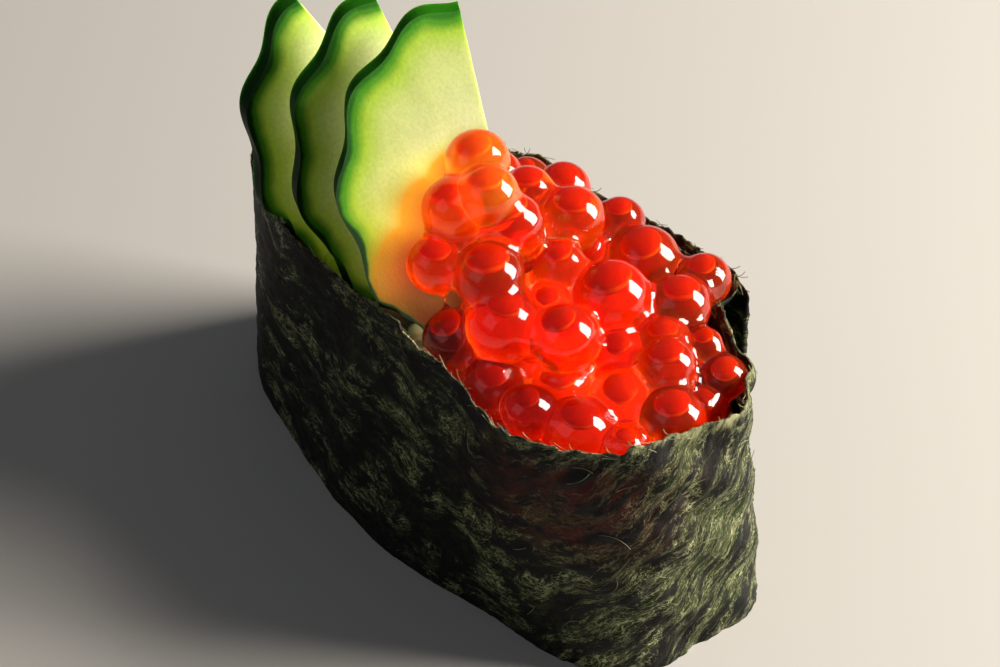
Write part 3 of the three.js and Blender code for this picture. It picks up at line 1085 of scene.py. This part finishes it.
@dataclass
class CucumberFan:
    """Half-moon slices that lean back at the far end, each turned a little more."""

    footprint: Footprint
    count: int = 3
    radius: float = 17.3
    thickness: float = 1.5
    # The knife cut on the slant: the back face's shift across and towards the tip
    bias: tuple[float, float] = (0.75, 0.87)
    centre: Vector = field(default_factory=lambda: Vector((-3.4, 2.6, 35.1)))
    step: Vector = field(default_factory=lambda: Vector((-7.5, 0.2, -1.85)))
    turn: float = math.radians(-2.0)
    lean: float = math.radians(36.0)
    first_roll: float = math.radians(8.5)
    roll_step: float = math.radians(-15.0)
    scallop_depth: float = 0.55
    scallop_angle: float = math.radians(33.0)
    scallop_start: float = math.radians(17.0)
    unevenness: float = 0.06
    sharp: float = math.radians(50.0)
    # Heights between which a slice is let go by the nori's wall, and its gap to the wall
    tucked: tuple[float, float] = (28.4, 30.5)
    wall_gap: float = 0.95
    glow_reach: float = 2.6
    # Heights between which the painted glow and the painted shade fade out
    painted_glow_heights: tuple[float, float] = (37.0, 41.0)
    painted_shade_heights: tuple[float, float] = (28.0, 37.0)
    rings: int = 44
    steps_round: int = 150

    def place(self, number: int) -> Matrix:
        """Place of a slice: local +Z is the normal of its face and +Y points to its tip.

        Args:
            number: Counted from the front, from 0.

        Returns:
            The place, as a matrix.
        """
        facing = Vector((math.cos(self.turn), math.sin(self.turn), 0.0))
        up = Vector((0.0, 0.0, 1.0))
        normal = facing * math.cos(self.lean) + up * math.sin(self.lean)
        rise = up * math.cos(self.lean) - facing * math.sin(self.lean)
        across = rise.cross(normal)
        roll = self.first_roll + self.roll_step * number
        tip = rise * math.cos(roll) + across * math.sin(roll)
        right = tip.cross(normal)
        matrix = Matrix((right, tip, normal)).transposed().to_4x4()
        matrix.translation = self.centre + self.step * number
        return matrix

    def edge(self, angle: float, number: int) -> float:
        """Radius of the skin at an angle from the tip."""
        phase = 2.0 * math.pi * (angle - self.scallop_start) / self.scallop_angle
        return self.radius + self.scallop_depth * math.cos(phase + 0.9 * number)

    def clearance(self, point: Vector, number: int) -> float:
        """Distance of a point from a slice, 0 inside it.

        Args:
            point: The point.
            number: Counted from the front, from 0.

        Returns:
            The distance.
        """
        local = self.place(number).inverted() @ point
        off = max(local.z, -self.thickness - local.z, 0.0)
        if local.x <= 0.0:
            beside = max(0.0, math.hypot(local.x, local.y) - self.radius)
        else:
            past = max(0.0, abs(local.y) - self.radius)
            beside = math.hypot(local.x, past)
        return math.hypot(off, beside)

    def tuck(self, point: Vector) -> Vector:
        """Keeps what is below the rim inside the nori.

        Args:
            point: A point of a slice. It is moved.

        Returns:
            The same point.
        """
        share = 1.0 - smooth_step(*self.tucked, point.z)
        level = min(point.z, self.footprint.height)
        limit = self.footprint.half_width(point.x, level, point.y > 0.0) - self.wall_gap
        if share > 0.0 and abs(point.y) > limit:
            kept = math.copysign(limit, point.y)
            point.y += (kept - point.y) * share
        return point

    def build(self, number: int, material: Material, eggs: Sequence[Egg]) -> Object:
        """Builds one slice.

        Args:
            number: Counted from the front, from 0.
            material: Its finish.
            eggs: The eggs that may lie on it.

        Returns:
            The slice.
        """
        bm = bmesh.new()
        bmesh.ops.create_grid(
            bm, x_segments=self.rings, y_segments=self.steps_round, size=0.5
        )
        rind = bm.verts.layers.float.new("rind")
        glow = bm.verts.layers.float.new("glow")
        painted_light_share = bm.verts.layers.float.new("painted_light_share")
        for vertex in bm.verts:
            # Rings lie closer towards the skin
            share = (vertex.co.x + 0.5) ** 0.8
            angle = (vertex.co.y + 0.5) * math.pi
            edge = self.edge(angle, number)
            radius = share * edge
            vertex.co = (-radius * math.sin(angle), radius * math.cos(angle), 0.0)
            vertex[rind] = edge - radius
        bmesh.ops.remove_doubles(bm, verts=bm.verts, dist=1e-4)
        grown = bmesh.ops.extrude_face_region(bm, geom=bm.faces[:], use_keep_orig=True)
        back = {v for v in grown["geom"] if isinstance(v, BMVert)}
        matrix = self.place(number)
        for vertex in bm.verts:
            behind = vertex in back
            if behind:
                vertex.co += Vector((*self.bias, -self.thickness))
            spot = Vector((vertex.co.x * 0.3, vertex.co.y * 0.3, number * 7.0))
            vertex.co.z += self.unevenness * relief(spot, 2)
            vertex.co = self.tuck(matrix @ vertex.co)
            # The front slice gets painted light: a glow near the eggs, where light comes through
            # them, fading out up high
            if number == 0 and not behind:
                gap = min((vertex.co - egg.centre).length - egg.diameter / 2 for egg in eggs)
                # Painted shade: the low part is darker, and the glow reaches further there
                low = 1.0 - smooth_step(*self.painted_shade_heights, vertex.co.z)
                vertex[painted_light_share] = low
                near = math.exp(-max(gap, 0.0) / (self.glow_reach * (1.0 + low)))
                vertex[glow] = near * (1.0 - smooth_step(*self.painted_glow_heights, vertex.co.z))
        bmesh.ops.recalc_face_normals(bm, faces=bm.faces)
        for edge in bm.edges:
            edge.smooth = edge.calc_face_angle(0.0) < self.sharp
        name = f"cucumber_slice_{number + 1}"
        return declare(finish_mesh(bm, f"{name}_cut", material), name)


# ------------------------------------------------------------------------------ rice


@dataclass
class RiceBlock:
    """The block of rice: a core and the grains that show under it and behind the slices."""

    footprint: Footprint
    grain_length: float = 6.2
    grain_width: float = 2.7
    spacing: float = 3.1
    foot: float = 1.5
    # Height of its top, how much lower it is under the roe and higher behind the slices
    level: float = 20.6
    hollow: float = 3.6
    hump: float = 3.9
    tries: int = 6000
    seed: int = 3

    def top(self, x: float) -> float:
        """Height of the rice at a place along the length."""
        under = self.level - self.hollow * smooth_step(7.0, 13.0, x)
        return under + self.hump * smooth_step(6.0, 20.0, -x)

    def add_grain(self, bm: BMesh, place: Vector, draw: random.Random, tilt: float) -> None:
        """Adds one grain.

        Args:
            bm: Mesh that it goes into.
            place: Its middle.
            draw: Source of random numbers.
            tilt: Most that it is tipped, in radians.
        """
        length = self.grain_length * draw.uniform(0.85, 1.08)
        width = self.grain_width * draw.uniform(0.92, 1.08)
        bend = draw.uniform(-0.25, 0.25)
        turn = Matrix.Rotation(draw.uniform(0.0, math.pi), 3, "Z")
        turn = turn @ Matrix.Rotation(draw.uniform(-tilt, tilt), 3, "Y")
        reach = turn @ Vector((length / 2, 0.0, 0.0))
        if max(self.footprint.inside(place + side * reach, 1.6) for side in (-1.0, 1.0)) > 1.0:
            return
        made = bmesh.ops.create_icosphere(bm, subdivisions=3, radius=0.5)
        for vertex in made["verts"]:
            along = 2.0 * vertex.co.x
            full = (1.0 - abs(along) ** 2.6) ** 0.5 / max((1.0 - along * along) ** 0.5, 1e-3)
            full = min(full, 1.25)
            local = Vector((
                vertex.co.x * length,
                vertex.co.y * width * full + bend * along * along,
                vertex.co.z * width * 0.86 * full,
            ))
            vertex.co = place + turn @ local

    def build_grains(self, material: Material) -> Object:
        """Scatters the grains under the block and over it behind the slices.

        Args:
            material: Their finish.

        Returns:
            The grains.
        """
        draw = random.Random(self.seed)
        bm = bmesh.new()
        for under in (True, False):
            placed: list[Vector] = []
            for _ in range(self.tries):
                x = draw.uniform(-30.0, 30.0) if under else draw.uniform(-30.0, -2.0)
                y = draw.uniform(-15.0, 15.0)
                z = self.foot if under else self.top(x) + 0.3
                spot = Vector((x, y, z))
                if self.footprint.inside(spot, 2.2) > 1.0:
                    continue
                if any((spot - other).length < self.spacing for other in placed):
                    continue
                placed.append(spot)
                lift = draw.uniform(0.0, 0.25 if under else 0.9)
                self.add_grain(bm, spot + Vector((0.0, 0.0, lift)), draw, 0.05 if under else 0.4)
        return declare(finish_mesh(bm, "rice_grains", material), "rice")

    def build_core(self, material: Material) -> Object:
        """Builds the block that the grains lie on.

        Args:
            material: Its finish.

        Returns:
            The block.
        """
        bm = bmesh.new()
        bmesh.ops.create_uvsphere(bm, u_segments=96, v_segments=48, radius=1.0)
        for vertex in bm.verts:
            up = vertex.co.z
            angle = math.atan2(vertex.co.y, vertex.co.x)
            share = shoulder(up, 8.0)
            wall = self.footprint.wall(angle, self.footprint.height / 2) * share
            low = self.foot + 0.5
            high = self.top(wall.x) - 0.4
            z = low + (high - low) * (0.5 + 0.5 * signed_power(up, 0.8))
            wall = self.footprint.wall(angle, z) * share
            length = max(wall.length, 1e-6)
            wall = wall * max(0.0, (length - 1.3) / length)
            bump = 0.35 * relief(Vector((wall.x * 0.35, wall.y * 0.35, z * 0.35)), 2)
            vertex.co = (wall.x, wall.y, z + bump * (1.0 if up > 0 else 0.3))
        bmesh.ops.recalc_face_normals(bm, faces=bm.faces)
        return declare(finish_mesh(bm, "rice_core", material), "rice")


# ------------------------------------------------------------------------------- roe


@dataclass(frozen=True)
class Egg:
    """One salmon egg."""

    centre: Vector
    diameter: float
    tone: float


@dataclass
class RoeMound:
    """The mound of salmon roe: the eggs on top at their own places and more under them."""

    footprint: Footprint
    fan: CucumberFan
    rice: RiceBlock
    # Middle and width of each egg that lies on top
    top_eggs: tuple[tuple[float, float, float, float], ...] = (
        (-2.6, -0.7, 39.5, 6.3), (-0.4, -5.2, 37.3, 6.4), (1.9, -2.9, 39.4, 5.9),
        (-0.4, -4.3, 33, 4.6), (3.8, -1.6, 36.3, 6.3), (1.1, -8.7, 33.2, 5.6),
        (-9, 10.5, 27, 5), (-1.8, 9.3, 31.4, 5.4), (3.8, 6, 33.2, 6.2), (3.7, 12, 29.4, 5),
        (9.2, 10.7, 28.9, 6.8), (14.8, 13.5, 28.7, 5.2), (16.5, 9, 29, 6),
        (13, 3.4, 30.6, 7.5), (7.6, 1.4, 32, 5), (6.4, -6.3, 33.9, 6.7),
        (10, -7.5, 31, 6.9), (15, -4, 31, 6.5), (5.5, -10, 27.5, 6), (12, -10.5, 26, 5.7),
        (17, 1, 27.5, 5), (19, 5, 28, 5), (22.5, 2.5, 29, 5.4), (21.5, 8, 28, 3.4),
        (24.6, 7.9, 26.1, 4.4), (21, -2, 26, 5.9), (16.5, -5.5, 25.5, 5.9),
        (21.5, -7.5, 25.5, 6.6), (26, -5.5, 25.5, 4.1), (26.5, 0, 26.5, 6.1),
        (25.5, 4.5, 24.5, 4.4), (11.5, -5, 26, 5), (17.5, -10.5, 27, 5.2),
    )
    filler_diameter: float = 5.5
    # How far back the roe reaches beside the slices, and from where across
    back: float = -15.0
    side: float = 7.5
    rim: float = 26.3
    rise: float = 4.5
    peak: float = 9.0
    # Eggs press into each other down to this share of their two widths
    press: float = 0.44
    bed_depth: float = 3.4
    bed_inset: float = 1.1
    bed_gap: float = 0.4
    # The film's thickness, and how wide a crease it fills
    film: float = 0.12
    crease: float = 0.42
    voxel: float = 0.36
    film_smoothing: int = 6
    # Eggs deeper than this under the top of the mound don't show
    sight: float = 3.2
    tries: int = 9000
    seed: int = 7
    eggs: list[Egg] = field(default_factory=list)

    def __post_init__(self) -> None:
        """Lays the eggs once."""
        self.eggs = self.fill()

    def height(self, x: float, y: float) -> float:
        """Height of the mound at a place.

        Args:
            x: Along the length.
            y: Across.

        Returns:
            The height.
        """
        along = min(max((26.0 - x) / 27.0, 0.0), 1.1)
        peak = self.peak * bell(x, -1.0, 7.0) * bell(y, -2.0, 7.0)
        return self.rim + self.rise * along * bell(y, -1.5, 9.5) + peak

    def may_lie(self, centre: Vector, radius: float) -> bool:
        """Whether an egg can lie at a place: inside the nori and clear of the slices.

        Args:
            centre: Its middle.
            radius: Half its width.

        Returns:
            Whether it can.
        """
        if self.footprint.inside(centre, 0.6 + radius * 0.8) > 1.0:
            return False
        if any(self.fan.clearance(centre, n) < radius * 0.9 for n in range(self.fan.count)):
            return False
        ahead = (self.fan.place(0).inverted() @ centre).z > 0.0
        return ahead or (centre.y > self.side - 2.0 and centre.x > self.back)

    def fill(self) -> list[Egg]:
        """All eggs: those on top, then others dropped into the room left under them.

        Returns:
            The eggs.
        """
        tones = random.Random(self.seed)
        draw = even_draws(self.seed)
        made = [
            Egg(Vector((x, y, z)), diameter, tones.random())
            for x, y, z, diameter in self.top_eggs
        ]
        for _ in range(self.tries):
            x = self.back + (30.0 - self.back) * next(draw)
            y = 14.0 * (next(draw) * 2.0 - 1.0)
            diameter = self.filler_diameter * (0.86 + 0.28 * next(draw))
            for step in range(18):
                centre = Vector((x, y, self.height(x, y) + 0.6 - step * 0.4))
                if not self.may_lie(centre, diameter / 2):
                    continue
                if centre.z - diameter / 2 < self.rice.top(x):
                    break
                near = any(
                    (egg.centre - centre).length < self.press * (egg.diameter + diameter)
                    for egg in made
                )
                if not near:
                    made.append(Egg(centre, diameter, tones.random()))
                    break
        return made

    def hidden(self, egg: Egg) -> bool:
        """Whether an egg lies too deep to show."""
        return egg.centre.z < self.height(egg.centre.x, egg.centre.y) - self.sight

    def shade(self, point: Vector) -> float:
        """Painted shade: how much darker red the roe is painted at a place, 1 low on the plain
        side, where the mound keeps the light off.
        """
        low = 1.0 - smooth_step(29.0, 35.0, point.z)
        return low * smooth_step(5.0, 10.5, -point.y)

    def build_oil(self, material: Material) -> Object:
        """Builds the drop of oil that floats at the top inside each egg that shows.

        Args:
            material: Their finish.

        Returns:
            The drops.
        """
        draw = random.Random(self.seed + 2)
        bm = bmesh.new()
        ring = bm.verts.layers.float.new("ring")
        for egg in self.eggs:
            if self.hidden(egg):
                continue
            drop = egg.diameter * draw.uniform(0.2, 0.26)
            lean = Vector((draw.uniform(-0.3, 0.1), draw.uniform(-0.2, 0.2), 1.0)).normalized()
            flat = Matrix.Scale(0.6, 3, lean)
            middle = egg.centre + lean * (egg.diameter * 0.45 - drop * 0.8)
            made = bmesh.ops.create_icosphere(bm, subdivisions=3, radius=drop)
            for vertex in made["verts"]:
                vertex[ring] = bell(vertex.co.dot(lean) / drop, -0.1, 0.22)
                vertex.co = middle + flat @ vertex.co
        piece = finish_mesh(bm, "roe_oil_drops", material)
        piece.visible_shadow = False
        return declare(piece, "salmon_roe")

    def add_bed(self, bm: BMesh, grow: float) -> None:
        """Adds the deep part of the mound, wider on every side by grow.

        Args:
            bm: Mesh that it goes into.
            grow: How much wider it is on every side.
        """
        made = bmesh.ops.create_uvsphere(bm, u_segments=96, v_segments=40, radius=1.0)
        for vertex in made["verts"]:
            up = vertex.co.z
            angle = math.atan2(vertex.co.y, vertex.co.x)
            wall = self.footprint.wall(angle, 26.0)
            inset = self.bed_inset - grow
            flat = wall * ((wall.length - inset) / wall.length) * shoulder(up, 6.0)
            ahead = self.face_x(flat.y, 24.0) - grow
            if flat.x < ahead and flat.y < self.side:
                flat.x = ahead
            flat.x = max(flat.x, self.back - grow)
            low = self.rice.top(flat.x) - 1.0 - grow
            high = self.height(flat.x, flat.y) - self.bed_depth + grow
            z = low + (high - low) * (0.5 + 0.5 * signed_power(up, 0.7))
            if flat.y < self.side:
                flat.x = max(flat.x, self.face_x(flat.y, z) - grow)
            vertex.co = (flat.x, flat.y, z)

    def build_bed(self, material: Material) -> Object:
        """Builds the deep part of the mound, which closes the gaps between the eggs.

        Args:
            material: Its finish.

        Returns:
            The bed.
        """
        bm = bmesh.new()
        tone = bm.verts.layers.float.new("tone")
        self.add_bed(bm, 0.0)
        # Painted shade: the bed is painted darker red low on the plain side
        for vertex in bm.verts:
            vertex[tone] = self.shade(vertex.co)
        bmesh.ops.recalc_face_normals(bm, faces=bm.faces)
        return declare(finish_mesh(bm, "roe_bed", material), "salmon_roe")

    def build_brine(self, material: Material) -> Object:
        """Builds the film of brine that wets the eggs and rounds the creases between them.

        The eggs are swollen, joined and smoothed, and the skin of that is drawn back in, so
        only the creases stay filled.

        Args:
            material: Its finish.

        Returns:
            The film.
        """
        bm = bmesh.new()
        for egg in self.eggs:
            radius = egg.diameter / 2 + self.film + self.crease
            bmesh.ops.create_icosphere(
                bm, subdivisions=3, radius=radius, matrix=Matrix.Translation(egg.centre)
            )
        self.add_bed(bm, self.film + self.crease)
        bmesh.ops.recalc_face_normals(bm, faces=bm.faces)
        swollen = finish_mesh(bm, "swollen", material)
        join = swollen.modifiers.new("join", "REMESH")
        join.mode = "VOXEL"
        join.voxel_size = self.voxel * MM
        piece = mesh_of(swollen, "roe_brine", material)
        bm = bmesh.new()
        bm.from_mesh(piece.data)
        for _ in range(self.film_smoothing):
            bmesh.ops.smooth_vert(
                bm, verts=bm.verts, factor=0.5, use_axis_x=True, use_axis_y=True, use_axis_z=True
            )
        bm.normal_update()
        inwards = {vertex: vertex.normal * (self.crease * MM) for vertex in bm.verts}
        for vertex, move in inwards.items():
            vertex.co -= move
        for face in bm.faces:
            face.smooth = True
        bm.to_mesh(piece.data)
        bm.free()
        piece.visible_shadow = False
        return declare(piece, "salmon_roe")

    def face_x(self, y: float, z: float) -> float:
        """Place along the length just ahead of the front slice's face at y and z.

        Args:
            y: Across.
            z: Height.

        Returns:
            The place along the length.
        """
        matrix = self.fan.place(0)
        normal = matrix.to_3x3().col[2]
        offset = matrix.translation - Vector((0.0, y, z))
        return (offset.dot(normal) + self.bed_gap) / normal.x

    def build_eggs(self, material: Material) -> Object:
        """Builds the eggs, each slightly out of round.

        Args:
            material: Their finish.

        Returns:
            The eggs.
        """
        draw = random.Random(self.seed + 1)
        bm = bmesh.new()
        tone = bm.verts.layers.float.new("tone")
        for egg in self.eggs:
            finer = 3 if self.hidden(egg) else 4
            made = bmesh.ops.create_icosphere(bm, subdivisions=finer, radius=egg.diameter / 2)
            axis = Vector((draw.gauss(0, 1), draw.gauss(0, 1), draw.gauss(0, 1))).normalized()
            squash = Matrix.Scale(1.0 - draw.uniform(0.02, 0.08), 3, axis)
            # Painted light: the foot of each egg is painted lighter orange as a glow of gathered
            # light, and eggs high on the mound lighter still; eggs low on the plain side get
            # painted shade
            lightness = 1.0 - 0.85 * smooth_step(35.0, 40.0, egg.centre.z)
            for vertex in made["verts"]:
                up = 2.0 * vertex.co.z / egg.diameter
                body = 0.57 * smooth_step(-0.95, 0.35, up) + 0.15 * egg.tone
                vertex[tone] = body * lightness + 0.4 * self.shade(egg.centre)
                vertex.co = egg.centre + squash @ vertex.co
        piece = finish_mesh(bm, "salmon_eggs", material)
        piece.visible_shadow = False
        return declare(piece, "salmon_roe")


# ---------------------------------------------------------------------------- studio


@dataclass(frozen=True)
class Lamp:
    """A rectangular soft light. Its place is to the view's right, towards it and up."""

    name: str
    place: tuple[float, float, float]
    size: tuple[float, float]
    watts: float
    colour: str


@dataclass(frozen=True)
class Studio:
    """The floor, the lights and the camera."""

    azimuth: float = math.radians(51.67)
    elevation: float = math.radians(42.0)
    distance: float = 500.0
    focus: Vector = field(default_factory=lambda: Vector((0.0, 0.0, 14.0)))
    lens: float = 181.7
    shift: float = 0.0369
    floor: float = 1500.0
    aim: Vector = field(default_factory=lambda: Vector((0.0, 0.0, 20.0)))
    lamps: tuple[Lamp, ...] = (
        Lamp("key", (420.0, -30.0, 215.0), (260.0, 340.0), 7.5, "fff6ea"),
        Lamp("fill", (-420.0, 250.0, 380.0), (500.0, 400.0), 0.25, "f2f6ff"),
    )
    sky: str = "e8ebf0"
    sky_light: float = 0.11

    @property
    def back(self) -> Vector:
        """Direction from the piece to the camera.

        Returns:
            The direction.
        """
        level = math.cos(self.elevation)
        return Vector((
            math.sin(self.azimuth) * level, -math.cos(self.azimuth) * level,
            math.sin(self.elevation),
        ))

    @property
    def right(self) -> Vector:
        """Direction to the right of the view."""
        return Vector((math.cos(self.azimuth), math.sin(self.azimuth), 0.0))

    def build_floor(self, material: Material) -> None:
        """Lays the plain floor.

        Args:
            material: Its finish.
        """
        bm = bmesh.new()
        bmesh.ops.create_grid(bm, x_segments=1, y_segments=1, size=self.floor)
        finish_mesh(bm, "floor", material)

    def hang(self, lamp: Lamp) -> None:
        """Hangs a light so that it faces the piece.

        Args:
            lamp: The light.
        """
        aside, near, high = lamp.place
        towards_view = Vector((self.back.x, self.back.y, 0.0)).normalized()
        place = self.right * aside + towards_view * near + Vector((0.0, 0.0, 1.0)) * high
        data = bpy.data.lights.new(lamp.name, "AREA")
        data.shape = "RECTANGLE"
        data.size, data.size_y = lamp.size[0] * MM, lamp.size[1] * MM
        data.energy = lamp.watts
        data.color = linear(lamp.colour)[:3]
        hung = add_object(lamp.name, data)
        hung.location = place * MM
        hung.rotation_euler = (self.aim - place).to_track_quat("-Z", "Y").to_euler()

    def build_lights(self) -> None:
        """Hangs a soft key at the right and behind, and weak fill from the left."""
        for lamp in self.lamps:
            self.hang(lamp)
        world = bpy.data.worlds.new("studio")
        world.use_nodes = True
        glow = world.node_tree.nodes["Background"]
        glow.inputs["Color"].default_value = linear(self.sky)
        glow.inputs["Strength"].default_value = self.sky_light
        bpy.context.scene.world = world
        bpy.context.scene.view_settings.view_transform = "Standard"

    def build_camera(self) -> None:
        """Places the camera."""
        data = bpy.data.cameras.new("camera")
        data.lens = self.lens
        data.shift_y = self.shift
        data.clip_start = 0.01
        camera = add_object("camera", data)
        camera.location = (self.focus + self.back * self.distance) * MM
        camera.rotation_euler = (-self.back).to_track_quat("-Z", "Y").to_euler()
        bpy.context.scene.camera = camera


# ------------------------------------------------------------------------------ main


def main() -> None:
    """Builds the piece and its studio."""
    logging.basicConfig(level=logging.INFO, format="%(name)s %(message)s")
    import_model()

    studio = Studio()
    studio.build_camera()
    studio.build_floor(StudioPaper().make())
    studio.build_lights()

    footprint = Footprint()
    fan = CucumberFan(footprint)
    rice = RiceBlock(footprint)
    mound = RoeMound(footprint, fan, rice)
    band = NoriBand(footprint, mound.eggs)
    band.build_strip(ToastedNori().make())
    band.build_fibres(LooseFibre().make())

    # The slices behind get a lit copy of the cucumber with brighter flesh: painted light, for
    # light that comes through the slice in front
    cucumber = CutCucumber().make()
    lit_copy_cut = CutCucumber(
        "cut_cucumber_lit_copy", outer_flesh="b0cc50", flesh="d8e29c", heart="e2e8be"
    ).make()
    for number in range(fan.count):
        fan.build(number, lit_copy_cut if number else cucumber, mound.eggs)

    cooked = CookedRice().make()
    rice.build_grains(cooked)
    rice.build_core(cooked)

    mound.build_eggs(SalmonEgg().make())
    mound.build_oil(RoeOil().make())
    mound.build_bed(DeepRoe().make())
    mound.build_brine(BrineFilm().make())


if __name__ == "__main__":
    main()
